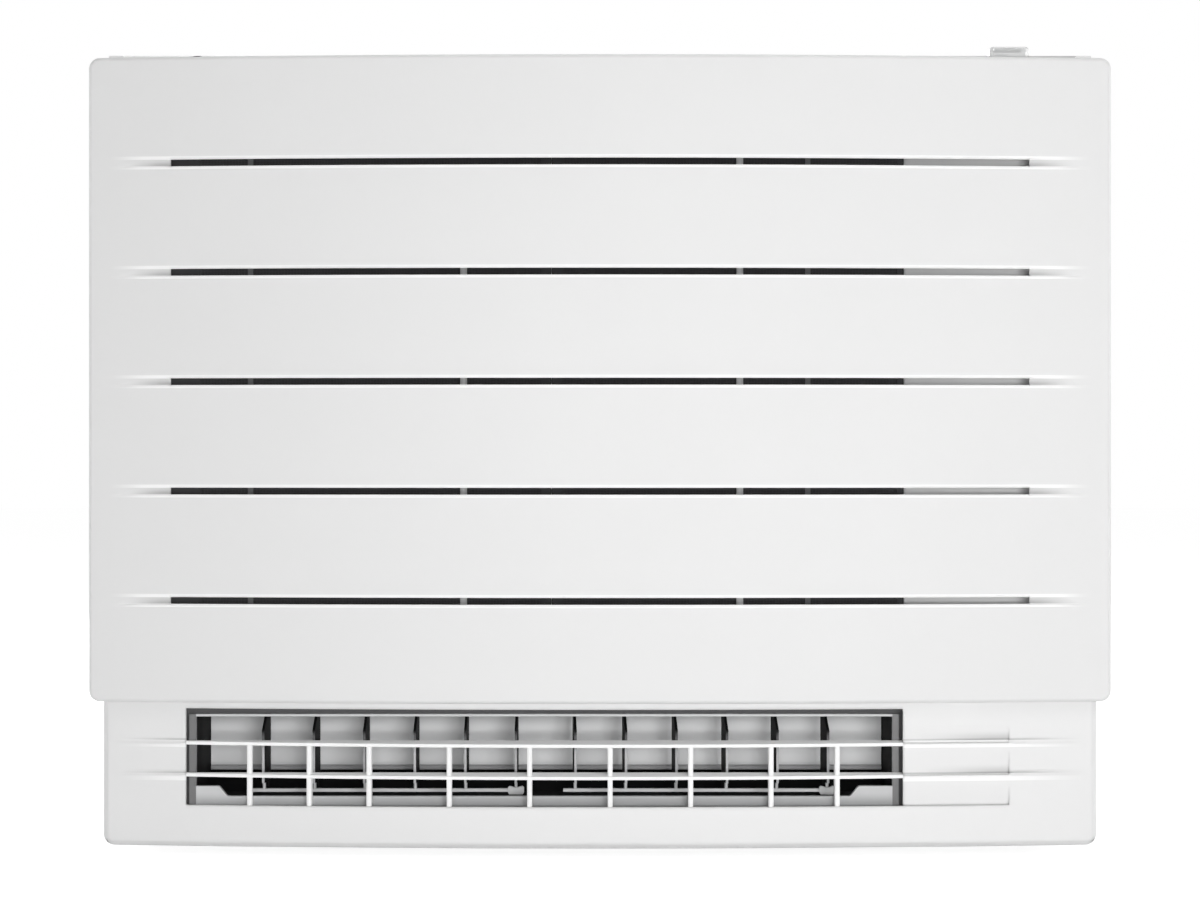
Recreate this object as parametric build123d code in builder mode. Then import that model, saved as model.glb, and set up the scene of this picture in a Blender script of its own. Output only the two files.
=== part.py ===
from build123d import *
from build123d.topology import SkipClean
import os
from math import asin, atan, cos, degrees, radians, sin, sqrt

# Floor standing air conditioner, in millimetres.
# +Z is up, the bowed front looks along -Y, and the origin is on the floor under the middle.

# ------------------------------------------------------------------ overall sizes
width = 750  # over the front panel
height = 600  # floor to the flat of the top cover
depth = 238  # bow of the front panel to the wall
bow_radius = 3360  # plan radius of the bowed front

front = -depth / 2
back = depth / 2
bow_centre = front + bow_radius

# ------------------------------------------------------------------ fits
seat = 0.2  # between pieces that are screwed or clipped together
running = 0.05  # radial, a pin in its bush
swing = 0.8  # round a piece that swings

# ------------------------------------------------------------------ front panel
panel_bottom = 113.5
panel_top = 585.5
panel_rear = -80
panel_wall = 3
panel_corner = 8
panel_edge = 1.8
slot_first = 188  # height of the lowest slot
slot_pitch = 80
slot_count = 5
slot_height = 5
slot_half = 314
slot_tip = 356  # where the groove beyond a slot has run out
slot_lip = 1.3
tail_depth = 2.2
tail_lean = 1.2
panel_hinge_y = -102.1
panel_hinge_z = 117
panel_hook_x = 265
panel_pin_radius = 1.5
panel_pin_length = 4

# ------------------------------------------------------------------ panel stoppers
stopper_x = 355
stopper_y = -90
stopper_width = 11
stopper_travel = 6
stopper_stem = 3.6

# ------------------------------------------------------------------ front casing
casing_half = 366
casing_inset = 9  # behind the front panel, all along the bow
casing_wall = 2.5
casing_bottom = 7
casing_lip = 117  # top of the bowed lower front
casing_face = -79  # flat wall behind the panel
casing_rear = 100
casing_top = 575
casing_corner = 8
casing_edge = 3.5
casing_floor_end = -38.5  # the floor of the casing reaches back to here
intake_left = -318
intake_right = 225
intake_bottom = 140
intake_top = 541
intake_posts = (-101, 103.5)
post_width = 5
finger_notch = 25

# ------------------------------------------------------------------ lower outlet
outlet_left = -303.8
outlet_right = 221.7
outlet_bottom = 37.5
outlet_top = 108.5
grille_rear = -93
grille_joint = 0.05  # between an upright and a blade
blade_levels = (82, 58.5)  # the two long blades of the grille
blade_height = 2.4
blade_depth = 17
blade_rise = 1.4  # the rear edge of a blade is this much higher
upright_width = 3.6
upright_depth = 10
upright_pitch = 58.8
upright_first = -169
upright_count = 6
upright_left_pitch = 44
upright_right_pitch = 48.5
blank_end = 301  # the closed part of the opening ends here
blank_depth = 1.4
crease_tip = 357
crease_height = 2.6
crease_depth = 1.2

# ------------------------------------------------------------------ outlet ducts
duct_left = -297
duct_right = 215
duct_wall = 3
duct_rear = 104
duct_front = -88
duct_flange = 5  # stands out all round the mouth of the lower duct
duct_floor = 40
duct_roof = 104
duct_roof_end = -33
rim_left = -302.1
rim_right = 219.8
rim_bottom = 33
rim_top = 103.9
rim_bar = 1.8  # along the top of the mouth
rim_lip = 43.5  # top of the pale ledge along the front of the lower duct
rim_ear_top = 51
rim_ear_left = 17
rim_ear_right = 25

# ------------------------------------------------------------------ lower vanes
vane_pitch = 37.5
vane_count = 6  # in each of the two groups
vane_thickness = 1.8
vane_hinge_y = -42
vane_tie_arm = 24
vane_nose = 31
vane_tail = 9
vane_bottom = 50.5
vane_top = 102.5
vane_shoulder = 89.5
vane_pin_radius = 1.5
pin_sides = 12  # small pins are drawn with this many sides
tie_pin_radius = 1.2
tie_level = 43.5
tie_thickness = 2.5
tie_width = 3
right_vane_turn = 2.5  # degrees, as the right group stands
tab_width = 12

# ------------------------------------------------------------------ lower shutter
shutter_y = -19
shutter_z = 99
shutter_bottom = 54.5
shutter_thickness = 2
shutter_barrel = 2.5
shutter_pin = 1.8

# ------------------------------------------------------------------ top: cover, flap, upper duct
crown_radius = 377  # side profile of the top, towards the front
crown_end = 20  # the profile is flat behind this
cover_wall = 2.5
cover_round = 2
flap_axis_y = -26
flap_barrel = 4.5
flap_thickness = 3
flap_front = -78.4
flap_left = -300.2
flap_right = 218.2
flap_pin = 2
flap_ear = 5
upper_floor = 545.2
upper_rail_y = -30
upper_vane_pitch = 80
upper_vane_count = 3
upper_vane_z = 561
upper_tie_arm = 12

# ------------------------------------------------------------------ fan, fan housing, bell mouth
fan_x = (duct_left + duct_right) / 2
fan_z = 330
fan_radius = 158
fan_eye = 104
fan_front = -25
fan_back = 44
fan_blades = 7
round_sides = 36  # sides of the large rings of the fan and its bell mouth
housing_front = -30
housing_bottom = 112
housing_top = 545
housing_waist = 182
bell_thickness = 3
bell_eye = 98
bell_flare = 14
motor_radius = 52
motor_front = 50
motor_back = 96
shaft_radius = 6
shaft_front = -8

# ------------------------------------------------------------------ heat exchanger and drain pan
coil_left = -285
coil_right = 205
coil_front = -67
coil_rear = -37
coil_top = 530
pan_left = -299
pan_right = 272
pan_front = -71.8
pan_rear = -33.2
pan_bottom = 127
pan_height = 30
pan_wall = 2
bend_radius = 10
bend_tube = 3.5
bend_count = 5
drain_radius = 9
drain_length = 26
drain_x = 260
drain_z = 135

# ------------------------------------------------------------------ filters
filter_left = -321
filter_right = 228
filter_split = -36
filter_bottom = 136
filter_top = 545
filter_front = -76.3
filter_depth = 4
filter_stile = 25
filter_ribs = (-259, 154)

# ------------------------------------------------------------------ electrical box
ebox_left = 222
ebox_right = 342
ebox_front = -66
ebox_rear = 50
ebox_bottom = 190
ebox_top = 520
ebox_wall = 2

# ------------------------------------------------------------------ pipes
gas_radius = 4.76
liquid_radius = 3.175
gas_z = 112
liquid_z = 84
gas_x = 285
liquid_x = 315
union_front = 74
union_length = 18
gas_thread = 7.94  # radius of the male flare thread
gas_thread_length = 14
liquid_thread = 5.56
liquid_thread_length = 12
pipe_window = (295, 105, 110, 102)  # centre x, centre z, width, height of the hole in the rear wall

# ------------------------------------------------------------------ rear frame
frame_wall = 3
frame_rib = 12
plinth_top = 9.5
plinth_front = -38
floor_hole = 3
floor_hole_x = 600
floor_hole_y = 82
wall_hole = 3.25
wall_hole_x = 660
wall_hole_z = 360
wall_hole_level = 360

# ------------------------------------------------------------------ display pod and button
pod_x = 306.5
pod_y = -46
pod_width = 29
pod_depth = 22
pod_top = 599.8
lens_width = 20
lens_depth = 12
button_radius = 5
button_travel = 1
button_y = -12


def bow_y(x, inset=0):
    """Where the bowed front, or a face `inset` behind it, stands at x."""
    return bow_centre - sqrt((bow_radius - inset) ** 2 - x**2)


def crown_z(y, inset=0):
    """Height of the top profile, or of a curve `inset` under it, at y."""
    reach = min(y, crown_end) - crown_end
    return height - crown_radius + sqrt((crown_radius - inset) ** 2 - reach**2)


def block(x, y, z, mode=Mode.ADD):
    """Rectangular block between two limits along each axis."""
    with Locations((sum(x) / 2, sum(y) / 2, sum(z) / 2)):
        Box(x[1] - x[0], y[1] - y[0], z[1] - z[0], mode=mode)


def bowed_block(half_width, inset, rear, bottom, top):
    """Upright block whose front follows the bow."""
    corner = bow_y(half_width, inset)
    with BuildPart() as blank:
        with BuildSketch(Plane.XY.offset(bottom)):
            with BuildLine():
                ThreePointArc((-half_width, corner), (0, front + inset), (half_width, corner))
                Polyline(
                    (half_width, corner), (half_width, rear), (-half_width, rear), (-half_width, corner)
                )
            make_face()
        extrude(amount=top - bottom)
    return blank.part


def follow_bow(profile, x_start, x_end):
    """Carry a closed profile of (inset, height) points along the bow between two places."""
    turn = asin(x_start / bow_radius)
    outwards = Vector(sin(turn), -cos(turn), 0)
    with BuildPart() as carried:
        with BuildSketch(Plane((0, bow_centre, 0), outwards, outwards.cross(Vector(0, 0, 1)))):
            with BuildLine():
                Polyline([(bow_radius - inset, z) for inset, z in profile], close=True)
            make_face()
        revolve(
            axis=Axis((0, bow_centre, 0), (0, 0, 1)),
            revolution_arc=degrees(asin(x_end / bow_radius) - turn),
        )
    return carried.part


def fading_groove(x_deep, x_tip, z_low, z_high, groove_depth, inset=0, lean=0):
    """Groove deepest at x_deep that runs out at x_tip; its floor comes forward by `lean` upwards."""
    deep, tip = bow_y(x_deep, inset), bow_y(x_tip, inset)
    with BuildPart() as groove:
        with BuildSketch(Plane.XY.offset(z_low)):
            with BuildLine():
                Polyline(
                    (x_deep, deep + groove_depth),
                    (x_tip, tip),
                    (x_tip, tip - 4),
                    (x_deep, deep - 4),
                    close=True,
                )
            make_face()
        extrude(amount=sqrt(lean**2 + (z_high - z_low) ** 2), dir=(0, -lean, z_high - z_low))
    return groove.part


def faceted_dome(plane, radius, sides, straight, slope, narrowing):
    """Many-sided prism on a plane whose far end slopes inwards by `narrowing` over `slope`."""
    with BuildPart() as dome:
        with BuildSketch(plane):
            RegularPolygon(radius, sides)
        extrude(amount=straight + slope)
        far = dome.faces().filter_by(
            lambda face: (face.center() - plane.origin).dot(plane.z_dir) > straight + slope - 0.01
        )[0]
        chamfer(far.edges(), narrowing, slope, reference=far)
    return dome.part


def finish(piece, name):
    """Label a finished piece and write it."""
    piece.part.label = name
    export_step(piece.part, f"parts/{name}.step")


os.makedirs("parts", exist_ok=True)

# ================================================================== front panel
slot_levels = [slot_first + slot_pitch * step for step in range(slot_count)]

with BuildPart() as panel_hollow:
    add(
        bowed_block(
            width / 2 - panel_wall, panel_wall, panel_rear + 1, panel_bottom - 10, panel_top - panel_wall
        )
    )
    fillet(panel_hollow.edges().filter_by(Axis.Y).group_by(Axis.Z)[-1], panel_corner - panel_wall)

with BuildPart() as panel_shell:
    add(bowed_block(width / 2, 0, panel_rear, panel_bottom, panel_top))
    fillet(panel_shell.edges().filter_by(Axis.Y), panel_corner)
    chamfer(panel_shell.faces().sort_by(Axis.Y)[0].edges(), panel_edge)
    add(panel_hollow.part, mode=Mode.SUBTRACT)
    for level in slot_levels:
        low, high = level - slot_height / 2, level + slot_height / 2
        block(
            (-slot_half, slot_half), (front - 1, bow_y(slot_half, panel_wall) + 1), (low, high),
            mode=Mode.SUBTRACT,
        )
        add(
            follow_bow(
                [(-1, low - slot_lip - 1), (slot_lip, low), (slot_lip, high), (-1, high + slot_lip + 1)],
                -slot_half,
                slot_half,
            ),
            mode=Mode.SUBTRACT,
        )
        # Beyond each end the slot goes on as a groove that fades out, deepest along its lower edge.
        for side in (-1, 1):
            add(
                fading_groove(
                    side * slot_half, side * slot_tip, low - slot_lip / 2, high + slot_lip / 2,
                    tail_depth, lean=tail_lean,
                ),
                mode=Mode.SUBTRACT,
            )
    # Two short pins on brackets hang the panel in the hooks of the casing.
    for side in (-1, 1):
        hook = side * panel_hook_x
        block(
            (hook - 4, hook + 4),
            (bow_y(panel_hook_x, panel_wall) - 0.5, panel_hinge_y + panel_pin_radius),
            (panel_hinge_z - panel_pin_radius, panel_hinge_z + 4),
        )
        with BuildSketch(Plane((hook + side * 4, panel_hinge_y, panel_hinge_z), (0, 1, 0), (side, 0, 0))):
            RegularPolygon(panel_pin_radius, pin_sides)
        extrude(amount=panel_pin_length)
    # Slots for the stems of the stoppers in the top return.
    for side in (-1, 1):
        middle = side * (stopper_x - stopper_travel / 2)
        half = (stopper_stem + stopper_travel + 2 * seat) / 2
        block(
            (middle - half, middle + half),
            (stopper_y - stopper_stem / 2 - seat, stopper_y + stopper_stem / 2 + seat),
            (panel_top - panel_wall - 1, panel_top + 1),
            mode=Mode.SUBTRACT,
        )

# Each band between two slots keeps a bowed face of its own, so that its facets follow the bow.
band_edges = [panel_bottom - 1, *slot_levels, panel_top + 1]
with SkipClean(), BuildPart() as front_panel:
    for low, high in zip(band_edges, band_edges[1:]):
        with BuildPart(mode=Mode.PRIVATE) as band:
            add(panel_shell.part)
            block((-width, width), (front - 1, back), (low, high), mode=Mode.INTERSECT)
        add(band.part)
finish(front_panel, "front_panel")

# ================================================================== panel stoppers
for side, name in ((-1, "panel_stopper_left"), (1, "panel_stopper_right")):
    with BuildPart() as stopper:
        with Locations((side * stopper_x, stopper_y, panel_top + seat + 0.9)):
            Box(stopper_width, stopper_width, 1.8)
        chamfer(stopper.faces().sort_by(Axis.Z)[-1].edges(), 0.7)
        with Locations((side * stopper_x, stopper_y, panel_top + seat)):
            Box(stopper_stem, stopper_stem, panel_wall + 2 * seat, align=(Align.CENTER, Align.CENTER, Align.MAX))
        with Locations((side * stopper_x, stopper_y, panel_top - panel_wall - seat)):
            Box(stopper_width, stopper_width, 1.5, align=(Align.CENTER, Align.CENTER, Align.MAX))
    finish(stopper, name)

# ================================================================== front casing
with BuildPart() as casing_hollow:
    add(
        bowed_block(
            casing_half - casing_wall,
            casing_inset + casing_wall,
            casing_rear + 1,
            casing_bottom + casing_wall,
            casing_lip - casing_wall,
        )
    )
    block(
        (-casing_half + casing_wall, casing_half - casing_wall),
        (casing_face + casing_wall, casing_rear + 1),
        (casing_lip - casing_wall, casing_top + 1),
    )

with BuildPart() as front_casing:
    add(bowed_block(casing_half, casing_inset, casing_rear, casing_bottom, casing_lip))
    fillet(
        front_casing.edges().filter_by(Axis.Y).group_by(Axis.Z)[0],
        casing_corner,
    )
    chamfer(
        front_casing.faces().sort_by(Axis.Y)[0].edges().group_by(Axis.Z)[0:-1],
        casing_edge,
    )
    block((-casing_half, casing_half), (casing_face, casing_rear), (casing_lip, casing_top))
    add(casing_hollow.part, mode=Mode.SUBTRACT)
    # The floor stays only under the front; the plinth of the rear frame fills the rest.
    block(
        (-casing_half + casing_wall, casing_half - casing_wall),
        (casing_floor_end, casing_rear + 1),
        (0, casing_bottom + casing_wall + 1),
        mode=Mode.SUBTRACT,
    )
    # Intake window behind the panel, divided by two posts.
    window_edges = (intake_left, *intake_posts, intake_right)
    for near, far in zip(window_edges, window_edges[1:]):
        block(
            (near + (post_width / 2 if near != intake_left else 0),
             far - (post_width / 2 if far != intake_right else 0)),
            (casing_face - 1, casing_face + casing_wall + 1),
            (intake_bottom, intake_top),
            mode=Mode.SUBTRACT,
        )
    # A notch in the left post lets a finger pull the filters.
    block(
        (intake_posts[0] - post_width, intake_posts[0] + post_width),
        (casing_face - 1, casing_face + casing_wall + 1),
        (slot_levels[-1] - finger_notch / 2, slot_levels[-1] + finger_notch / 2),
        mode=Mode.SUBTRACT,
    )
    # Lower outlet opening.
    block((outlet_left, outlet_right), (front, 0), (outlet_bottom, outlet_top), mode=Mode.SUBTRACT)
    # Closed end of the opening: the wall leans in towards each blade line.
    leans = [
        (outlet_top - 12, blade_levels[0] + blade_height / 2),
        (blade_levels[0] - blade_height / 2 - 3, blade_levels[1] + blade_height / 2),
        (blade_levels[1] - blade_height / 2 - 5, outlet_bottom),
    ]
    for lean_top, lean_bottom in leans:
        add(
            follow_bow(
                [
                    (casing_inset - 1, lean_top + 1),
                    (casing_inset, lean_top),
                    (casing_inset + blank_depth, lean_bottom),
                    (casing_inset - 1, lean_bottom),
                ],
                outlet_right,
                blank_end,
            ),
            mode=Mode.SUBTRACT,
        )
    # Creases that carry the blade lines out to both sides and fade.
    for level in blade_levels:
        low = level + blade_height / 2
        for x_deep in (outlet_left, blank_end):
            x_tip = crease_tip if x_deep > 0 else -crease_tip
            add(
                fading_groove(x_deep, x_tip, low, low + crease_height, crease_depth, casing_inset),
                mode=Mode.SUBTRACT,
            )
    # Hooks that carry the pins of the panel.
    for side in (-1, 1):
        near, far = sorted((side * (panel_hook_x + 5), side * (panel_hook_x + 7.5)))
        with BuildSketch(Plane.YZ.offset(near)):
            with Locations((panel_hinge_y, panel_hinge_z)):
                RegularPolygon(panel_pin_radius + running + 0.8, 8, major_radius=False)
            with Locations((panel_hinge_y + 3, panel_hinge_z - 0.5)):
                Rectangle(6, 4)
            with Locations((panel_hinge_y, panel_hinge_z)):
                RegularPolygon(panel_pin_radius + running, 8, major_radius=False, mode=Mode.SUBTRACT)
        extrude(amount=far - near)
finish(front_casing, "front_casing")

# ================================================================== outlet grille
upright_places = [upright_first + upright_pitch * step for step in range(upright_count)]
upright_places += [upright_first - upright_left_pitch * step for step in (1, 2)]
upright_places += [upright_places[upright_count - 1] + upright_right_pitch]


def grille_blade(level, margin=0):
    """One long blade: a slab with a bowed front edge, its rear edge higher, grown by `margin`."""
    tilt = degrees(atan(blade_rise / blade_depth))
    left, right = outlet_left - 3, outlet_right + 3
    shift = front + casing_inset
    lower = Plane((0, shift, level - blade_height / 2 - margin)).rotated((tilt, 0, 0))
    with BuildPart(mode=Mode.PRIVATE) as blade:
        with BuildSketch(lower):
            with BuildLine():
                ThreePointArc(
                    (left, bow_y(left, casing_inset) - shift),
                    (0, 0),
                    (right, bow_y(right, casing_inset) - shift),
                )
                Polyline(
                    (right, bow_y(right, casing_inset) - shift),
                    (right, blade_depth + 20 * margin),
                    (left, blade_depth + 20 * margin),
                    (left, bow_y(left, casing_inset) - shift),
                )
            make_face()
        extrude(amount=blade_height + 2 * margin)
    return blade.part


# The uprights end a hairline clear of the blades, so that each one is a plain convex prism.
with BuildPart() as outlet_grille:
    for x in upright_places:
        face = bow_y(x, casing_inset + 0.6)
        with BuildSketch(Plane.XY.offset(outlet_bottom)):
            with Locations((x, face + upright_depth / 2)):
                nose = Rectangle(upright_width, upright_depth)
            chamfer(nose.vertices().group_by(Axis.Y)[0], 1)
        extrude(amount=blade_levels[0] - outlet_bottom)
    for level in blade_levels:
        add(grille_blade(level, grille_joint), mode=Mode.SUBTRACT)
    for level in blade_levels:
        add(grille_blade(level))
    block(
        (outlet_left, outlet_right),
        (front, grille_rear),
        (outlet_bottom, outlet_top),
        mode=Mode.INTERSECT,
    )
finish(outlet_grille, "outlet_grille")

# ================================================================== lower outlet rim
# Pale frame round the mouth of the lower duct, with a ledge whose two ends stand up.
rim_front, rim_rear = grille_rear + seat, duct_front - seat
with BuildPart() as lower_outlet_rim:
    with BuildSketch(Plane.XZ.offset(-rim_rear)):
        with BuildLine():
            Polyline(
                (rim_left, rim_bottom),
                (rim_right, rim_bottom),
                (rim_right, rim_top),
                (rim_left, rim_top),
                close=True,
            )
        make_face()
        with BuildLine():
            ear_left = duct_left + rim_ear_left
            ear_right = duct_right - rim_ear_right
            Polyline(
                (duct_left, rim_top - rim_bar),
                (duct_left, rim_ear_top),
                (ear_left, rim_ear_top),
                (ear_left + 6, rim_lip),
                (ear_right - 6, rim_lip),
                (ear_right, rim_ear_top),
                (duct_right, rim_ear_top),
                (duct_right, rim_top - rim_bar),
                close=True,
            )
        make_face(mode=Mode.SUBTRACT)
    extrude(amount=rim_rear - rim_front)
    ramps = lower_outlet_rim.edges().filter_by(Axis.Y).filter_by(
        lambda edge: duct_left + 1 < edge.center().X < duct_right - 1 and 36 < edge.center().Z < rim_top - 3
    )
    fillet(ramps, 3)
finish(lower_outlet_rim, "lower_outlet_rim")

# ================================================================== lower duct
group_places = {
    "left": [fan_x - vane_pitch * (vane_count - step) + 16 for step in range(vane_count)],
    "right": [fan_x + vane_pitch * (step + 1) - 16 for step in range(vane_count)],
}
floor_bend = vane_hinge_y + 7  # the floor is flat up to here, then rises to the fan housing
under_shutter = shutter_y + 3

with BuildPart() as lower_duct:
    for near in (duct_left - duct_wall, duct_right):
        with BuildSketch(Plane.YZ.offset(near)):
            with BuildLine():
                Polyline(
                    (duct_front, plinth_top + seat),
                    (duct_rear, plinth_top + seat),
                    (duct_rear, housing_bottom - seat),
                    (housing_front, housing_bottom - seat),
                    (duct_roof_end, duct_roof + duct_wall),
                    (duct_front, duct_roof + duct_wall),
                    close=True,
                )
            make_face()
            with Locations((shutter_y, shutter_z)):
                RegularPolygon(shutter_pin + running, 8, major_radius=False, mode=Mode.SUBTRACT)
        extrude(amount=duct_wall)
    with BuildSketch(Plane.YZ.offset(duct_left - duct_wall / 2)):
        with BuildLine():
            Polyline(
                (duct_front, duct_floor - duct_wall),
                (duct_front, duct_floor),
                (floor_bend, duct_floor),
                (under_shutter, duct_floor + 12),
            )
            ThreePointArc(
                (under_shutter, duct_floor + 12), (44, duct_floor + 24), (duct_rear, housing_bottom - seat)
            )
            Line((duct_rear, housing_bottom - seat), (duct_rear, housing_bottom - seat - duct_wall))
            ThreePointArc(
                (duct_rear, housing_bottom - seat - duct_wall),
                (44, duct_floor + 24 - duct_wall),
                (under_shutter + 1, duct_floor + 12 - duct_wall),
            )
            Polyline(
                (under_shutter + 1, duct_floor + 12 - duct_wall),
                (floor_bend + 1, duct_floor - duct_wall),
                (duct_front, duct_floor - duct_wall),
            )
        make_face()
    extrude(amount=duct_right - duct_left + duct_wall)
    block(
        (duct_left - duct_wall / 2, duct_right + duct_wall / 2),
        (duct_front, duct_roof_end),
        (duct_roof, duct_roof + duct_wall),
    )
    # Flange round the mouth, standing up to the casing.
    flange = (duct_front, duct_front + 2)
    block(
        (duct_left - duct_wall - duct_flange, duct_right + duct_wall + duct_flange), flange,
        (duct_roof + duct_wall - 1, duct_roof + duct_wall + duct_flange),
    )
    for x in (
        (duct_left - duct_wall - duct_flange, duct_left - duct_wall + 1),
        (duct_right + duct_wall - 1, duct_right + duct_wall + duct_flange),
    ):
        block(x, flange, (plinth_top + seat, duct_roof + duct_wall))
    for z in ((duct_floor - duct_wall - 1, duct_floor + 1), (duct_roof - 1, duct_roof + duct_wall + 1)):
        with BuildSketch(Plane.XY.offset(z[0])):
            with Locations([(x, vane_hinge_y) for x in group_places["left"] + group_places["right"]]):
                RegularPolygon(vane_pin_radius + running, 6, major_radius=False)
        extrude(amount=z[1] - z[0], mode=Mode.SUBTRACT)
finish(lower_duct, "lower_duct")

# ================================================================== lower vanes and tie bars
for group, places in group_places.items():
    turn = radians(right_vane_turn if group == "right" else 0)
    forward = Vector(sin(turn), -cos(turn), 0)
    across = forward.cross(Vector(0, 0, 1))
    for number, x in enumerate(places, 1):
        hinge = Vector(x, vane_hinge_y, 0)
        tie_point = hinge + forward * vane_tie_arm
        with BuildPart() as vane:
            with BuildSketch(Plane(hinge - across * (vane_thickness / 2), forward, across)):
                with BuildLine():
                    Polyline(
                        (-vane_tail, vane_bottom),
                        (vane_nose, vane_bottom),
                        (vane_nose, vane_shoulder - 1.5),
                        (vane_nose + 1.5, vane_shoulder),
                        (vane_tail, vane_top),
                        (-vane_tail, vane_top),
                        close=True,
                    )
                make_face()
            extrude(amount=vane_thickness)
            with BuildSketch(Plane.XY.offset(duct_floor - duct_wall + seat)):
                with Locations((hinge.X, hinge.Y)):
                    RegularPolygon(vane_pin_radius, pin_sides)
            extrude(amount=vane_bottom - duct_floor + duct_wall - seat)
            with BuildSketch(Plane.XY.offset(vane_top)):
                with Locations((hinge.X, hinge.Y)):
                    RegularPolygon(vane_pin_radius, 6)
            extrude(amount=duct_roof + duct_wall - seat - vane_top)
            # Eye that the post of the tie bar stands in.
            with BuildSketch(Plane.XY.offset(vane_bottom)):
                with Locations((tie_point.X, tie_point.Y)):
                    RegularPolygon(tie_pin_radius + running + 1.2, 6)
            extrude(amount=6)
            with BuildSketch(Plane.XY.offset(vane_bottom)):
                with Locations((tie_point.X, tie_point.Y)):
                    RegularPolygon(tie_pin_radius + running, 6, major_radius=False)
            extrude(amount=4.5, mode=Mode.SUBTRACT)
        finish(vane, f"lower_vane_{group}_{number}")
    shift = forward * vane_tie_arm
    bar_y = vane_hinge_y + shift.Y
    with BuildPart() as tie:
        start, end = places[0] + shift.X - 9, places[-1] + shift.X + tie_width / 2
        block((start, end), (bar_y - tie_width / 2, bar_y + tie_width / 2), (tie_level, tie_level + tie_thickness))
        with BuildSketch(Plane.XY.offset(tie_level)):
            with Locations((places[0] + shift.X, bar_y)):
                RegularPolygon(tie_pin_radius, pin_sides)
            with Locations([(x + shift.X, bar_y) for x in places[1:]]):
                RegularPolygon(tie_pin_radius, 6)
        extrude(amount=vane_bottom + 4 - tie_level)
        # Hand tab: a short upright plate with two raised corners, in front of the bar's end.
        with BuildSketch(Plane.XZ.offset(-(bar_y - tie_width / 2 + 0.5))):
            with BuildLine():
                tab = places[-1] + shift.X
                Polyline(
                    (tab - tab_width / 2 + 1, tie_level - 1.8),
                    (tab + tab_width / 2 - 1, tie_level - 1.8),
                    (tab + tab_width / 2, tie_level),
                    (tab + tab_width / 2, tie_level + 3.6),
                    (tab + tab_width / 2 - 1.2, tie_level + 4.7),
                    (tab + tab_width / 2 - 3, tie_level + 4.3),
                    (tab, tie_level + 3.3),
                    (tab - tab_width / 2 + 3, tie_level + 4.3),
                    (tab - tab_width / 2 + 1.2, tie_level + 4.7),
                    (tab - tab_width / 2, tie_level + 3.6),
                    (tab - tab_width / 2, tie_level),
                    close=True,
                )
            make_face()
        extrude(amount=2.5)
    finish(tie, f"lower_tie_{group}")

# ================================================================== lower shutter
with BuildPart() as lower_shutter:
    with BuildSketch(Plane.YZ.offset(duct_left + swing)):
        with Locations((shutter_y, shutter_z)):
            RegularPolygon(shutter_barrel, 8)
        with Locations((shutter_y, (shutter_z + shutter_bottom) / 2)):
            Rectangle(shutter_thickness, shutter_z - shutter_bottom)
        with BuildLine():
            Polyline(
                (shutter_y - 2, shutter_bottom + 0.6),
                (shutter_y - 1, shutter_bottom),
                (shutter_y + 1, shutter_bottom),
                (shutter_y + 1, shutter_bottom + 4),
                (shutter_y - 2, shutter_bottom + 3),
                close=True,
            )
        make_face()
    extrude(amount=duct_right - duct_left - 2 * swing)
    with BuildSketch(Plane.YZ.offset(duct_left - duct_wall - 0.5)):
        with Locations((shutter_y, shutter_z)):
            RegularPolygon(shutter_pin, pin_sides)
    extrude(amount=duct_right - duct_left + 2 * duct_wall + 1)
finish(lower_shutter, "lower_shutter")

# ================================================================== top cover
cover_front = casing_face + seat
cover_bottom = casing_top + seat
flap_gap_left = flap_left - flap_ear - swing - seat
flap_gap_right = flap_right + flap_ear + swing + seat
flap_gap_rear = flap_axis_y + flap_barrel + swing


def crown_profile(start, end, inset, bottom):
    """Face under the top profile between two places, `inset` under it, down to `bottom`."""
    middle = (start + crown_end) / 2
    with BuildSketch() as side_view:
        with BuildLine():
            ThreePointArc(
                (start, crown_z(start, inset)),
                (middle, crown_z(middle, inset)),
                (crown_end, height - inset),
            )
            Polyline(
                (crown_end, height - inset),
                (end, height - inset),
                (end, bottom),
                (start, bottom),
                (start, crown_z(start, inset)),
            )
        make_face()
    return side_view.sketch


with BuildPart() as top_cover:
    with BuildSketch(Plane.YZ.offset(-casing_half)):
        add(crown_profile(cover_front, back, 0, cover_bottom))
    extrude(amount=2 * casing_half)
    chamfer(
        top_cover.faces().filter_by(Axis.X).edges().filter_by(
            lambda edge: edge.center().Z > cover_bottom + 8 and edge.length > 12
        ),
        cover_round,
    )
    with BuildSketch(Plane.YZ.offset(-casing_half + cover_wall)):
        add(crown_profile(cover_front + cover_wall, back - cover_wall, cover_wall, cover_bottom - 1))
    extrude(amount=2 * (casing_half - cover_wall), mode=Mode.SUBTRACT)
    block(
        (flap_gap_left, flap_gap_right),
        (cover_front - 1, flap_gap_rear),
        (581, height + 1),
        mode=Mode.SUBTRACT,
    )
    with BuildSketch(Plane.XY.offset(580)):
        with Locations((pod_x, button_y)):
            RegularPolygon(button_radius + 0.3, 24)
    extrude(amount=30, mode=Mode.SUBTRACT)
    block(
        (pod_x - pod_width / 2 - seat, pod_x + pod_width / 2 + seat),
        (pod_y - pod_depth / 2 - seat, pod_y + pod_depth / 2 + seat),
        (580, height + 1),
        mode=Mode.SUBTRACT,
    )
finish(top_cover, "top_cover")

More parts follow.
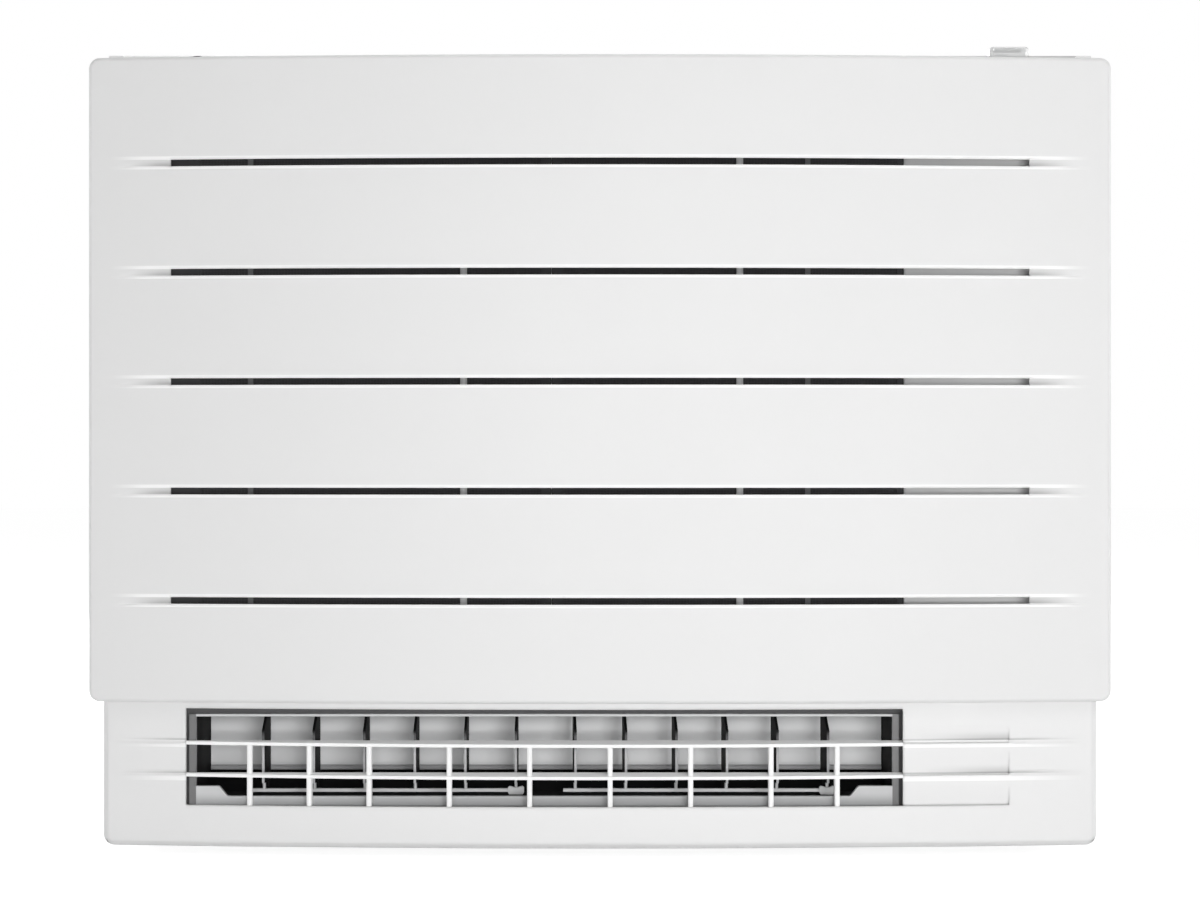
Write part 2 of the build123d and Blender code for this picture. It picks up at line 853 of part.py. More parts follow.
# ================================================================== upper flap
flap_axis_z = crown_z(flap_axis_y, flap_barrel)
with BuildPart() as upper_flap:
    with BuildSketch(Plane.YZ.offset(flap_left)):
        with BuildLine():
            middle = (flap_front + flap_axis_y) / 2
            ThreePointArc(
                (flap_front, crown_z(flap_front)),
                (middle, crown_z(middle)),
                (flap_axis_y, crown_z(flap_axis_y)),
            )
            Line((flap_axis_y, crown_z(flap_axis_y)), (flap_axis_y, crown_z(flap_axis_y, flap_thickness)))
            ThreePointArc(
                (flap_axis_y, crown_z(flap_axis_y, flap_thickness)),
                (middle, crown_z(middle, flap_thickness)),
                (flap_front, crown_z(flap_front, flap_thickness)),
            )
            Line((flap_front, crown_z(flap_front, flap_thickness)), (flap_front, crown_z(flap_front)))
        make_face()
        with Locations((flap_axis_y, flap_axis_z)):
            RegularPolygon(flap_barrel, 10, rotation=18)
    extrude(amount=flap_right - flap_left)
    with BuildSketch(Plane.YZ.offset(flap_left - flap_ear)):
        with Locations((flap_axis_y, flap_axis_z)):
            RegularPolygon(flap_pin, pin_sides)
    extrude(amount=flap_right - flap_left + 2 * flap_ear)
finish(upper_flap, "upper_flap")

# ================================================================== upper duct
upper_places = {
    "left": [fan_x - upper_vane_pitch * (upper_vane_count - step - 0.5) for step in range(upper_vane_count)],
    "right": [fan_x + upper_vane_pitch * (step + 0.5) for step in range(upper_vane_count)],
}
duct_mouth = casing_face + casing_wall + seat
with BuildPart() as upper_duct:
    for near, far in (
        (flap_left - flap_ear, flap_left - swing / 2),
        (flap_right + swing / 2, flap_right + flap_ear),
    ):
        with BuildSketch(Plane.YZ.offset(near)):
            with BuildLine():
                middle = (duct_mouth + flap_gap_rear) / 2
                ThreePointArc(
                    (duct_mouth, crown_z(duct_mouth)),
                    (middle, crown_z(middle)),
                    (flap_gap_rear - swing, crown_z(flap_gap_rear - swing)),
                )
                Polyline(
                    (flap_gap_rear - swing, crown_z(flap_gap_rear - swing)),
                    (flap_gap_rear - swing, 588),
                    (40, 573),
                    (duct_rear, 558),
                    (duct_rear, upper_floor),
                    (duct_mouth, upper_floor),
                    (duct_mouth, crown_z(duct_mouth)),
                )
            make_face()
            with Locations((flap_axis_y, flap_axis_z)):
                RegularPolygon(flap_pin + running, 8, major_radius=False, mode=Mode.SUBTRACT)
        extrude(amount=far - near)
    left_end, right_end = flap_left - swing, flap_right + swing
    block((left_end, right_end), (duct_mouth, duct_mouth + duct_wall), (upper_floor, 581))
    with BuildSketch(Plane.YZ.offset(left_end)):
        with BuildLine():
            ThreePointArc((duct_rear, 550), (50, 571), (flap_axis_y + 2, 587))
            Line((flap_axis_y + 2, 587), (flap_axis_y + 2, 584))
            ThreePointArc((flap_axis_y + 2, 584), (50, 568), (duct_rear, 547))
            Line((duct_rear, 547), (duct_rear, 550))
        make_face()
    extrude(amount=right_end - left_end)
    block(
        (left_end, right_end),
        (upper_rail_y, upper_rail_y + duct_wall),
        (upper_vane_z - 5, upper_vane_z + 5),
    )
    with BuildSketch(Plane.XZ.offset(-upper_rail_y - duct_wall - 1)):
        with Locations([(x, upper_vane_z) for x in upper_places["left"] + upper_places["right"]]):
            RegularPolygon(vane_pin_radius + running, 6, major_radius=False)
    extrude(amount=upper_rail_y + duct_wall - duct_mouth + 2, mode=Mode.SUBTRACT)
finish(upper_duct, "upper_duct")

# ================================================================== upper vanes and tie bars
vane_front = duct_mouth + duct_wall + swing
vane_rear = upper_rail_y - swing
tie_z = upper_vane_z - upper_tie_arm
for group, places in upper_places.items():
    for number, x in enumerate(places, 1):
        with BuildPart() as vane:
            block(
                (x - vane_thickness / 2, x + vane_thickness / 2),
                (vane_front, vane_rear),
                (upper_vane_z - 13, upper_vane_z + 15),
            )
            chamfer(vane.edges().filter_by(Axis.X), 3)
            with BuildSketch(Plane.XZ.offset(-vane_front)):
                with Locations((x, upper_vane_z)):
                    RegularPolygon(vane_pin_radius, pin_sides)
            extrude(amount=vane_front - duct_mouth - seat)
            with BuildSketch(Plane.XZ.offset(-upper_rail_y - duct_wall + seat)):
                with Locations((x, upper_vane_z)):
                    RegularPolygon(vane_pin_radius, 6)
            extrude(amount=upper_rail_y + duct_wall - seat - vane_rear)
            with Locations((x, -52, tie_z)):
                Box(4 * vane_thickness, 3, 8, mode=Mode.SUBTRACT)
            with BuildSketch(Plane.XZ.offset(49.5)):
                with Locations((x, tie_z)):
                    RegularPolygon(tie_pin_radius, pin_sides if number == 1 else 6)
            extrude(amount=5)
        finish(vane, f"upper_vane_{group}_{number}")
    with BuildPart() as tie:
        block((places[0] - 4, places[-1] + 4), (-53.2, -50.8), (tie_z - 2.3, tie_z + 2.3))
        with BuildSketch(Plane.XZ.offset(50)):
            with Locations([(x, tie_z) for x in places]):
                RegularPolygon(tie_pin_radius + running, 6, major_radius=False)
        extrude(amount=4, mode=Mode.SUBTRACT)
    finish(tie, f"upper_tie_{group}")

# ================================================================== rear frame
with BuildPart() as rear_frame:
    block((-casing_half, casing_half), (back - frame_wall, back), (0, casing_top))
    # Rim that meets the casing.
    for x in ((-casing_half, -casing_half + frame_wall), (casing_half - frame_wall, casing_half)):
        block(x, (casing_rear + seat, back), (0, casing_top))
    block((-casing_half, casing_half), (casing_rear + seat, back), (casing_top - frame_wall, casing_top))
    chamfer(rear_frame.faces().sort_by(Axis.Y)[-1].edges().filter_by(Axis.Z), 2)
    # Ribs that the fan housing is screwed to.
    for x in (fan_x - 150, fan_x + 150):
        block((x - 1.5, x + 1.5), (duct_rear, back - frame_wall), (plinth_top, casing_top - frame_wall))
    for z in (180, 480):
        block(
            (-casing_half + frame_wall, casing_half - frame_wall),
            (duct_rear, back - frame_wall),
            (z - 1.5, z + 1.5),
        )
    # Plinth: a ribbed tray, open underneath.
    plinth_half = casing_half - casing_wall - seat
    block((-plinth_half, plinth_half), (plinth_front, back), (0, plinth_top))
    block(
        (-plinth_half + frame_wall, plinth_half - frame_wall),
        (plinth_front + frame_wall, back - frame_wall),
        (-1, plinth_top - frame_wall),
        mode=Mode.SUBTRACT,
    )
    for x in (-floor_hole_x / 2, -100, 100, floor_hole_x / 2):
        block((x - 8, x + 8), (plinth_front + 1, back - 1), (0, plinth_top - 1))
    with Locations((-floor_hole_x / 2, floor_hole_y, plinth_top / 2), (floor_hole_x / 2, floor_hole_y, plinth_top / 2)):
        Cylinder(floor_hole, plinth_top + 2, mode=Mode.SUBTRACT)
    with Locations((0, back - frame_wall / 2, wall_hole_level)):
        with Locations(Rotation(90, 0, 0)):
            with GridLocations(wall_hole_x, wall_hole_z, 2, 2):
                Cylinder(wall_hole, 3 * frame_wall, mode=Mode.SUBTRACT)
    window_x, window_z, window_width, window_height = pipe_window
    block(
        (window_x - window_width / 2, window_x + window_width / 2),
        (back - frame_wall - 1, back + 1),
        (window_z - window_height / 2, window_z + window_height / 2),
        mode=Mode.SUBTRACT,
    )
finish(rear_frame, "rear_frame")

# ================================================================== fan housing
with BuildPart() as fan_housing:
    block((duct_left - duct_wall, ebox_left - seat), (housing_front, duct_rear), (housing_bottom, housing_top))
    with BuildSketch(Plane.XZ.offset(-(duct_rear - frame_wall))):
        with BuildLine():
            ThreePointArc(
                (duct_left, housing_bottom), (fan_x - housing_waist, fan_z), (duct_left, housing_top)
            )
            Line((duct_left, housing_top), (duct_right, housing_top))
            ThreePointArc(
                (duct_right, housing_top), (fan_x + housing_waist, fan_z), (duct_right, housing_bottom)
            )
            Line((duct_right, housing_bottom), (duct_left, housing_bottom))
        make_face()
    extrude(amount=duct_rear - frame_wall - housing_front, mode=Mode.SUBTRACT)
    with BuildSketch(Plane((fan_x, duct_rear + 1, fan_z), (1, 0, 0), (0, -1, 0))):
        RegularPolygon(motor_radius - 8, 24)
    extrude(amount=frame_wall + 2, mode=Mode.SUBTRACT)
finish(fan_housing, "fan_housing")

# ================================================================== bell mouth
bell_front = housing_front - seat - bell_thickness
with BuildPart() as bell_mouth:
    block(
        (duct_left - duct_wall, ebox_left - seat),
        (bell_front, bell_front + bell_thickness),
        (housing_bottom, housing_top),
    )
    bell_plane = Plane((fan_x, bell_front, fan_z), (1, 0, 0), (0, 1, 0))
    add(faceted_dome(bell_plane, bell_eye + bell_flare, round_sides, bell_thickness, 9, bell_flare))
    add(
        faceted_dome(
            bell_plane.offset(-1), bell_eye + bell_flare - 2, round_sides, 1.5, 12.5, bell_flare
        ),
        mode=Mode.SUBTRACT,
    )
finish(bell_mouth, "bell_mouth")

# ================================================================== fan rotor, shaft, nut
fan_face = Plane((fan_x, fan_back, fan_z), (1, 0, 0), (0, -1, 0))
fan_reach = fan_back - fan_front
with BuildPart() as fan_rotor:
    # Back plate, and a hollow hub that comes forward over the motor.
    with BuildSketch(fan_face):
        RegularPolygon(fan_radius, round_sides)
    extrude(amount=3)
    add(faceted_dome(fan_face, 75, 24, 4, 32, 58))
    add(faceted_dome(fan_face.offset(-1), 72, 24, 5, 29, 55), mode=Mode.SUBTRACT)
    with BuildSketch(fan_face.offset(fan_back - 30)):
        RegularPolygon(12, 12)
    extrude(amount=30 - 8)
    with BuildSketch(fan_face.offset(fan_back - 31)):
        Circle(shaft_radius + running)
    extrude(amount=30, mode=Mode.SUBTRACT)
    # Shroud ring round the eye, sloping back to the rim.
    with BuildPart(mode=Mode.PRIVATE) as shroud:
        add(faceted_dome(fan_face.offset(fan_reach - 19), fan_radius, round_sides, 3, 16, 51))
        add(
            faceted_dome(fan_face.offset(fan_reach - 21), fan_radius + 2.9, round_sides, 1, 17, 57.4),
            mode=Mode.SUBTRACT,
        )
        with BuildSketch(fan_face.offset(fan_reach - 5)):
            RegularPolygon(fan_eye, round_sides)
        extrude(amount=6, mode=Mode.SUBTRACT)
    # Backward curved blades, trimmed to the slope of the shroud and behind the bell mouth.
    with BuildPart(mode=Mode.PRIVATE) as blades:
        with BuildSketch(fan_face.offset(1.5)):
            with PolarLocations(0, fan_blades):
                with BuildLine():
                    Polyline(
                        (fan_radius - 3, 0),
                        (fan_radius - 16, 28),
                        (fan_eye + 14, 46),
                        (fan_eye - 26, 54),
                        (fan_eye - 25, 57),
                        (fan_eye + 15, 49.5),
                        (fan_radius - 13.5, 31),
                        (fan_radius - 3, 4),
                        close=True,
                    )
                make_face()
        extrude(amount=fan_reach - 1)
        add(
            faceted_dome(fan_face.offset(1), fan_radius - 1, round_sides, fan_reach - 18.5, 15.5, 51),
            mode=Mode.INTERSECT,
        )
        with BuildSketch(fan_face.offset(fan_reach - 16)):
            RegularPolygon(fan_eye + 1, round_sides)
        extrude(amount=20, mode=Mode.SUBTRACT)
    add(blades.part)
    add(shroud.part)
finish(fan_rotor, "fan_rotor")

with BuildPart() as motor_shaft:
    with BuildSketch(Plane((fan_x, shaft_front, fan_z), (1, 0, 0), (0, 1, 0))):
        Circle(shaft_radius)
    extrude(amount=motor_front + 8 - shaft_front)
finish(motor_shaft, "motor_shaft")

with BuildPart() as fan_nut:
    with BuildSketch(Plane((fan_x, 8 - seat, fan_z), (1, 0, 0), (0, -1, 0))):
        RegularPolygon(11, 6)
        RegularPolygon(shaft_radius + running, 12, major_radius=False, mode=Mode.SUBTRACT)
    extrude(amount=8)
finish(fan_nut, "fan_nut")

# ================================================================== fan motor and bracket
with BuildPart() as fan_motor:
    with BuildSketch(Plane((fan_x, motor_front + 10, fan_z), (1, 0, 0), (0, 1, 0))):
        RegularPolygon(motor_radius, 24)
    extrude(amount=motor_back - motor_front - 10)
    with BuildSketch(Plane((fan_x, motor_front, fan_z), (1, 0, 0), (0, 1, 0))):
        RegularPolygon(18, 12)
    extrude(amount=12)
    chamfer(fan_motor.faces().sort_by(Axis.Y)[-1].edges(), 4)
    with BuildSketch(Plane((fan_x, motor_front - 1, fan_z), (1, 0, 0), (0, 1, 0))):
        Circle(shaft_radius + running)
    extrude(amount=9 + seat, mode=Mode.SUBTRACT)
finish(fan_motor, "fan_motor")

# Three-armed pressed plate between the motor and the housing.
with BuildPart() as motor_bracket:
    with BuildSketch(Plane((fan_x, motor_back + seat, fan_z), (1, 0, 0), (0, 1, 0))):
        RegularPolygon(motor_radius + 12, 12)
        for turn in range(3):
            with Locations(Rotation(0, 0, 120 * turn + 90)):
                with Locations((motor_radius + 14, 0)):
                    Rectangle(36, 20)
        RegularPolygon(20, 12, mode=Mode.SUBTRACT)
    extrude(amount=duct_rear - frame_wall - motor_back - 2 * seat)
finish(motor_bracket, "motor_bracket")

# ================================================================== heat exchanger
coil_bottom = pan_bottom + pan_wall + 4
with BuildPart() as exchanger_fins:
    block((coil_left, coil_right), (coil_front, coil_rear), (coil_bottom, coil_top))
finish(exchanger_fins, "exchanger_fins")

with BuildPart() as exchanger_end_plates:
    for near in (coil_left - 1, coil_right):
        block((near, near + 1), (coil_front, bell_front), (pan_bottom + pan_wall, coil_top + 3))
finish(exchanger_end_plates, "exchanger_end_plates")

with BuildPart() as exchanger_bends:
    pitch = (coil_top - coil_bottom - 60) / (bend_count - 1)
    middle_y = (coil_front + coil_rear) / 2
    for side, end in ((-1, coil_left - 1), (1, coil_right + 1)):
        for step in range(bend_count):
            z = coil_bottom + 30 + pitch * step
            with BuildLine() as route:
                Polyline(
                    (end, middle_y + bend_radius, z),
                    (end + side * bend_radius * 0.6, middle_y + bend_radius, z),
                    (end + side * bend_radius * 1.2, middle_y + bend_radius * 0.4, z),
                    (end + side * bend_radius * 1.2, middle_y - bend_radius * 0.4, z),
                    (end + side * bend_radius * 0.6, middle_y - bend_radius, z),
                    (end, middle_y - bend_radius, z),
                )
            with BuildSketch(Plane((end, middle_y + bend_radius, z), (0, 1, 0), (side, 0, 0))):
                RegularPolygon(bend_tube, 6)
            sweep(path=route.wires()[0], transition=Transition.RIGHT)
finish(exchanger_bends, "exchanger_bends")

with BuildPart() as drain_pan:
    block((pan_left, pan_right), (pan_front, pan_rear), (pan_bottom, pan_bottom + pan_height))
    block(
        (pan_left + pan_wall, pan_right - pan_wall),
        (pan_front + pan_wall, pan_rear - pan_wall),
        (pan_bottom + pan_wall, pan_bottom + pan_height + 1),
        mode=Mode.SUBTRACT,
    )
    # The socket for the hose looks to the rear and empties the pan down to its floor.
    with BuildSketch(Plane.XZ.offset(-pan_rear)):
        with Locations((drain_x, drain_z)):
            Circle(drain_radius)
    extrude(amount=-drain_length)
    with BuildSketch(Plane.XZ.offset(-pan_rear + pan_wall + 1)):
        with Locations((drain_x, drain_z)):
            RegularPolygon(drain_radius - pan_wall, 12)
    extrude(amount=-drain_length - 2 * pan_wall - 2, mode=Mode.SUBTRACT)
    # Notch that the bell mouth side of each end plate stands in.
    for near in (coil_left - 1, coil_right):
        block(
            (near - seat, near + 1 + seat),
            (pan_rear - pan_wall - 1, pan_rear + 1),
            (pan_bottom + pan_wall, pan_bottom + pan_height + 1),
            mode=Mode.SUBTRACT,
        )
finish(drain_pan, "drain_pan")

# ================================================================== refrigerant pipes
for name, radius, start_y, start_z, x, z, bend in (
    ("gas_pipe", gas_radius, -46, pan_bottom + pan_height + 25, gas_x, gas_z, 20),
    ("liquid_pipe", liquid_radius, -58, pan_bottom + pan_height + 17, liquid_x, liquid_z, 16),
):
    with BuildPart() as pipe:
        with BuildLine() as route:
            Polyline(
                (coil_right + 1 + seat, start_y, start_z),
                (x - bend, start_y, start_z),
                (x - bend * 0.3, start_y, start_z - bend * 0.3),
                (x, start_y, start_z - bend),
                (x, start_y, z + bend),
                (x, start_y + bend * 0.3, z + bend * 0.3),
                (x, start_y + bend, z),
                (x, union_front + 10, z),
            )
        with BuildSketch(Plane((coil_right + 1 + seat, start_y, start_z), (0, 1, 0), (1, 0, 0))):
            RegularPolygon(radius, 8)
        sweep(path=route.wires()[0], transition=Transition.RIGHT)
    finish(pipe, name)

# Flare unions: a hexagon that takes the pipe and a male thread for the nut of the line.
with BuildPart() as flare_unions:
    for x, z, radius, thread, thread_length in (
        (gas_x, gas_z, gas_radius, gas_thread, gas_thread_length),
        (liquid_x, liquid_z, liquid_radius, liquid_thread, liquid_thread_length),
    ):
        with BuildSketch(Plane((x, union_front, z), (1, 0, 0), (0, 1, 0))):
            RegularPolygon(thread + 3, 6)
        extrude(amount=union_length)
        with BuildSketch(Plane((x, union_front + union_length, z), (1, 0, 0), (0, 1, 0))):
            Circle(thread)
        extrude(amount=thread_length)
        with BuildSketch(Plane((x, union_front, z), (1, 0, 0), (0, 1, 0))):
            RegularPolygon(radius + running, 8, major_radius=False)
        extrude(amount=10 + seat, mode=Mode.SUBTRACT)
        with BuildSketch(Plane((x, union_front, z), (1, 0, 0), (0, 1, 0))):
            RegularPolygon(radius - 0.8, 6)
        extrude(amount=union_length + thread_length + 1, mode=Mode.SUBTRACT)
finish(flare_unions, "flare_unions")

# ================================================================== filters
for name, left, right, stile_left, stile_right in (
    ("filter_left", filter_left, filter_split - seat, filter_stile, 8),
    ("filter_right", filter_split + seat, filter_right, 8, 8),
):
    with BuildPart() as filter_frame:
        block((left, right), (filter_front, filter_front + filter_depth), (filter_bottom, filter_top))
        for cut_y in ((filter_front - 1, filter_front + 1.5), (filter_front + 2.5, filter_front + 5)):
            block(
                (left + stile_left, right - stile_right),
                cut_y,
                (filter_bottom + 8, filter_top - 8),
                mode=Mode.SUBTRACT,
            )
        for x in filter_ribs:
            if left < x < right:
                block((x - 2, x + 2), (filter_front, filter_front + filter_depth), (filter_bottom, filter_top))
        middle = (slot_levels[1] + slot_levels[2]) / 2
        block((left, right), (filter_front + 0.5, filter_front + filter_depth), (middle - 2, middle + 2))
    finish(filter_frame, name)

# ================================================================== electrical box
with BuildPart() as electrical_box:
    block((ebox_left, ebox_right), (ebox_front, ebox_rear), (ebox_bottom, ebox_top))
    block(
        (ebox_left + ebox_wall, ebox_right - ebox_wall),
        (ebox_front - 1, ebox_rear - ebox_wall),
        (ebox_bottom + ebox_wall, ebox_top - ebox_wall),
        mode=Mode.SUBTRACT,
    )
    chamfer(electrical_box.edges().filter_by(Axis.Y).group_by(Axis.X)[-1], 3)
finish(electrical_box, "electrical_box")

with BuildPart() as electrical_cover:
    block(
        (ebox_left, ebox_right),
        (ebox_front - seat - ebox_wall, ebox_front - seat),
        (ebox_bottom, ebox_top),
    )
    chamfer(electrical_cover.edges().filter_by(Axis.Y), 3)
finish(electrical_cover, "electrical_cover")

with BuildPart() as control_board:
    board_y = ebox_rear - ebox_wall - 12
    block(
        (ebox_left + ebox_wall + 4, ebox_right - ebox_wall - 4),
        (board_y, board_y + 1.6),
        (ebox_bottom + 12, ebox_top - 12),
    )
    for x, z, size, tall in ((250, 250, 26, 30), (300, 300, 34, 22), (262, 400, 20, 36), (310, 460, 28, 18)):
        block((x - size / 2, x + size / 2), (board_y - tall, board_y), (z - size / 2, z + size / 2))
    for x in (ebox_left + ebox_wall + 10, ebox_right - ebox_wall - 10):
        for z in (ebox_bottom + 20, ebox_top - 20):
            block((x - 2.5, x + 2.5), (board_y + 1.6, ebox_rear - ebox_wall - seat), (z - 2.5, z + 2.5))
finish(control_board, "control_board")

with BuildPart() as terminal_block:
    block((236, 306), (-20, 4), (ebox_bottom - seat - 18, ebox_bottom - seat))
    for x in (245, 258, 271, 284, 297):
        block((x - 4.5, x + 4.5), (-21, -8), (ebox_bottom - 17, ebox_bottom - 8), mode=Mode.SUBTRACT)
finish(terminal_block, "terminal_block")

# ================================================================== stepper motors
with BuildPart() as stepper_motors:
    axis_x = flap_right + flap_ear + seat
    for x, y, z, radius in (
        (axis_x, flap_axis_y + 2, flap_axis_z - 12, 9),
        (duct_right + duct_wall + 0.5 + seat, shutter_y, shutter_z - 12, 12),
    ):
        with BuildSketch(Plane((x, y, z), (0, 1, 0), (1, 0, 0))):
            RegularPolygon(radius, 12)
        extrude(amount=16)
    for x in (upper_places["left"][-1], upper_places["right"][0]):
        with BuildSketch(Plane((x, upper_rail_y + duct_wall + seat, upper_vane_z), (1, 0, 0), (0, 1, 0))):
            RegularPolygon(10, 12)
        extrude(amount=14)
finish(stepper_motors, "stepper_motors")

# ================================================================== display pod and power button
with BuildPart() as display_pod:
    block(
        (pod_x - pod_width / 2, pod_x + pod_width / 2),
        (pod_y - pod_depth / 2, pod_y + pod_depth / 2),
        (578, pod_top),
    )
    chamfer(display_pod.edges().filter_by(Axis.Z), 2.5)
    chamfer(display_pod.faces().sort_by(Axis.Z)[-1].edges(), 1.2)
    block(
        (pod_x - lens_width / 2 - seat, pod_x + lens_width / 2 + seat),
        (pod_y - lens_depth / 2 - seat, pod_y + lens_depth / 2 + seat),
        (pod_top - 2, pod_top + 1),
        mode=Mode.SUBTRACT,
    )
finish(display_pod, "display_pod")

with BuildPart() as receiver_window:
    block(
        (pod_x - lens_width / 2, pod_x + lens_width / 2),
        (pod_y - lens_depth / 2, pod_y + lens_depth / 2),
        (pod_top - 2, pod_top - 0.3),
    )
finish(receiver_window, "receiver_window")

with BuildPart() as power_button:
    with BuildSketch(Plane.XY.offset(height - 6)):
        with Locations((pod_x, button_y)):
            RegularPolygon(button_radius, 24)
    extrude(amount=6)
    chamfer(power_button.faces().sort_by(Axis.Z)[-1].edges(), 0.6)
    with Locations((pod_x, button_y, height - 6)):
        Box(2 * button_radius + 3, 2 * button_radius + 3, 2)
finish(power_button, "power_button")

# ================================================================== screws
with BuildPart() as screws:
    for x in (-300, 300):
        with BuildSketch(Plane((x, casing_face - seat, 128), (1, 0, 0), (0, -1, 0))):
            RegularPolygon(3.8, 12)
        extrude(amount=2.4)
finish(screws, "screws")
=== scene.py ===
import bmesh
import bpy
from math import pi, radians
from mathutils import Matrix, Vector

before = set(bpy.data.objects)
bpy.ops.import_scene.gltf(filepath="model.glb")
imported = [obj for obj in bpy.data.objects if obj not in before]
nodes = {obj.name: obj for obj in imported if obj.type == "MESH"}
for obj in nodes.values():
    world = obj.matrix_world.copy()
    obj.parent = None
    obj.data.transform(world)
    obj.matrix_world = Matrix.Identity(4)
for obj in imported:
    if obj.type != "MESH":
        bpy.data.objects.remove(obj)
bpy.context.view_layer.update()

# ---------------------------------------------------------------- rear frame
# The ribbed back and plinth that everything is screwed to. It is moulded in
# white ABS with a fine spark texture.


class Wire:
    """A socket of a material; arithmetic on it adds Math nodes."""

    def __init__(self, tree, socket):
        self.tree = tree
        self.socket = socket

    def node(self, kind, settings, values, output=0):
        made = self.tree.nodes.new(kind)
        for name, setting in settings.items():
            setattr(made, name, setting)
        for name, value in values.items():
            socket = made.inputs[name]
            if isinstance(value, Wire):
                self.tree.links.new(value.socket, socket)
            elif socket.type == "RGBA":
                socket.default_value = (*value, 1)
            else:
                socket.default_value = value
        return Wire(self.tree, made.outputs[output])

    def maths(self, operation, *values):
        return self.node("ShaderNodeMath", {"operation": operation}, dict(enumerate(values)))

    def vector(self, operation, *values):
        return self.node("ShaderNodeVectorMath", {"operation": operation}, dict(enumerate(values)))

    def __add__(self, other):
        return self.maths("ADD", self, other)

    __radd__ = __add__

    def __mul__(self, other):
        return self.maths("MULTIPLY", self, other)

    __rmul__ = __mul__

    def __sub__(self, other):
        return self.maths("SUBTRACT", self, other)

    def __rsub__(self, other):
        return self.maths("SUBTRACT", other, self)

    def __abs__(self):
        return self.maths("ABSOLUTE", self)

    def step(self, low, high):
        """0 below `low`, 1 above `high`, smooth between."""
        return self.node(
            "ShaderNodeMapRange",
            {"interpolation_type": "SMOOTHSTEP"},
            {"Value": self, "From Min": low, "From Max": high},
        )

    def mix(self, first, second):
        """From the first colour at 0 to the second at 1."""
        return self.node("ShaderNodeMix", {"data_type": "RGBA"}, {0: self, 6: first, 7: second}, 2)


class Finish:
    """A material with one Principled shader, fed by Wires."""

    def __init__(self, name, roughness=0.5, metallic=0.0, edge=0.0004, **constants):
        self.material = bpy.data.materials.new(name)
        self.material.use_nodes = True
        self.tree = self.material.node_tree
        self.shader = self.tree.nodes["Principled BSDF"]
        constants = {"Roughness": roughness, "Metallic": metallic, **constants}
        for socket, value in constants.items():
            self.shader.inputs[socket.replace("_", " ")].default_value = value
        places = self.tree.nodes.new("ShaderNodeTexCoord")
        self.place = Wire(self.tree, places.outputs["Object"])
        self.x, self.y, self.z = (
            self.place.node("ShaderNodeSeparateXYZ", {}, {0: self.place}, axis) for axis in range(3)
        )
        # Every moulded or pressed edge is slightly round.
        self.normal = self.place.node("ShaderNodeBevel", {"samples": 4}, {"Radius": edge})

    def noise(self, scale, detail=2.0, stretch=(1, 1, 1)):
        place = self.place.vector("MULTIPLY", self.place, stretch)
        return self.place.node(
            "ShaderNodeTexNoise", {}, {"Vector": place, "Scale": scale, "Detail": detail}
        )

    def cells(self, scale, feature="F1", stretch=(1, 1, 1)):
        place = self.place.vector("MULTIPLY", self.place, stretch)
        return self.place.node(
            "ShaderNodeTexVoronoi", {"feature": feature}, {"Vector": place, "Scale": scale}
        )

    def paint(self, colour):
        self.tree.links.new(colour.socket, self.shader.inputs["Base Color"])

    def dull(self, roughness):
        self.tree.links.new(roughness.socket, self.shader.inputs["Roughness"])

    def relief(self, height, distance, strength=1.0):
        bump = self.place.node(
            "ShaderNodeBump",
            {},
            {"Height": height, "Distance": distance, "Strength": strength, "Normal": self.normal},
        )
        self.tree.links.new(bump.socket, self.shader.inputs["Normal"])

    def turn(self, share, normal):
        """Blend the normal towards another one; relief() is called after it."""
        self.normal = self.place.node(
            "ShaderNodeMix", {"data_type": "VECTOR"}, {0: share, 4: self.normal, 5: normal}, 1
        )

    def on(self, *names):
        for name in names:
            materials = nodes[name].data.materials
            materials.clear()
            materials.append(self.material)


rear_white = Finish("rear_frame_white_abs", edge=0.0006)
flow = rear_white.noise(7.0, 3.0, (1, 1, 0.4))
sparks = rear_white.noise(2200.0, 1.0)
dust = rear_white.noise(18.0, 5.0)
rear_white.paint(dust.step(0.45, 0.85).mix((0.72, 0.72, 0.715), (0.68, 0.68, 0.67)))
rear_white.dull(0.46 + 0.12 * (flow - 0.5) + 0.1 * (sparks - 0.5))
rear_white.relief(sparks, 0.00006, 0.5)
rear_white.on("rear_frame")

# ---------------------------------------------------------------- fan housing and bell mouth
# The scroll round the fan is moulded from expanded polystyrene beads on a
# frame; the bell mouth that closes its front is smooth grey plastic.
bead_foam = Finish("bead_foam", roughness=0.8, edge=0.001)
beads = bead_foam.cells(280.0)
seams = bead_foam.cells(280.0, "DISTANCE_TO_EDGE")
bead_foam.paint(seams.step(0.0, 0.12).mix((0.52, 0.53, 0.54), (0.72, 0.73, 0.74)))
bead_foam.relief(1 - beads, 0.0006, 0.5)
bead_foam.on("fan_housing")

bell_grey = Finish("bell_mouth_grey_plastic", edge=0.001)
cloud = bell_grey.noise(30.0, 3.0)
bell_grey.paint(cloud.mix((0.34, 0.345, 0.35), (0.4, 0.405, 0.41)))
bell_grey.dull(0.42 + 0.12 * (cloud - 0.5))
bell_grey.relief(bell_grey.noise(1600.0, 1.0), 0.00004, 0.4)
bell_grey.on("bell_mouth")

# ---------------------------------------------------------------- fan and its motor
# The rotor is glass-filled grey plastic; the motor is a pressed and painted
# steel can on a zinc-plated plate, with a ground shaft and a plated nut.
rotor_grey = Finish("rotor_glass_filled_plastic", roughness=0.5)
fibres = rotor_grey.noise(500.0, 2.0, (1, 1, 0.15))
rotor_grey.paint(fibres.mix((0.11, 0.115, 0.12), (0.19, 0.195, 0.2)))
rotor_grey.relief(fibres, 0.00005, 0.5)
rotor_grey.on("fan_rotor")

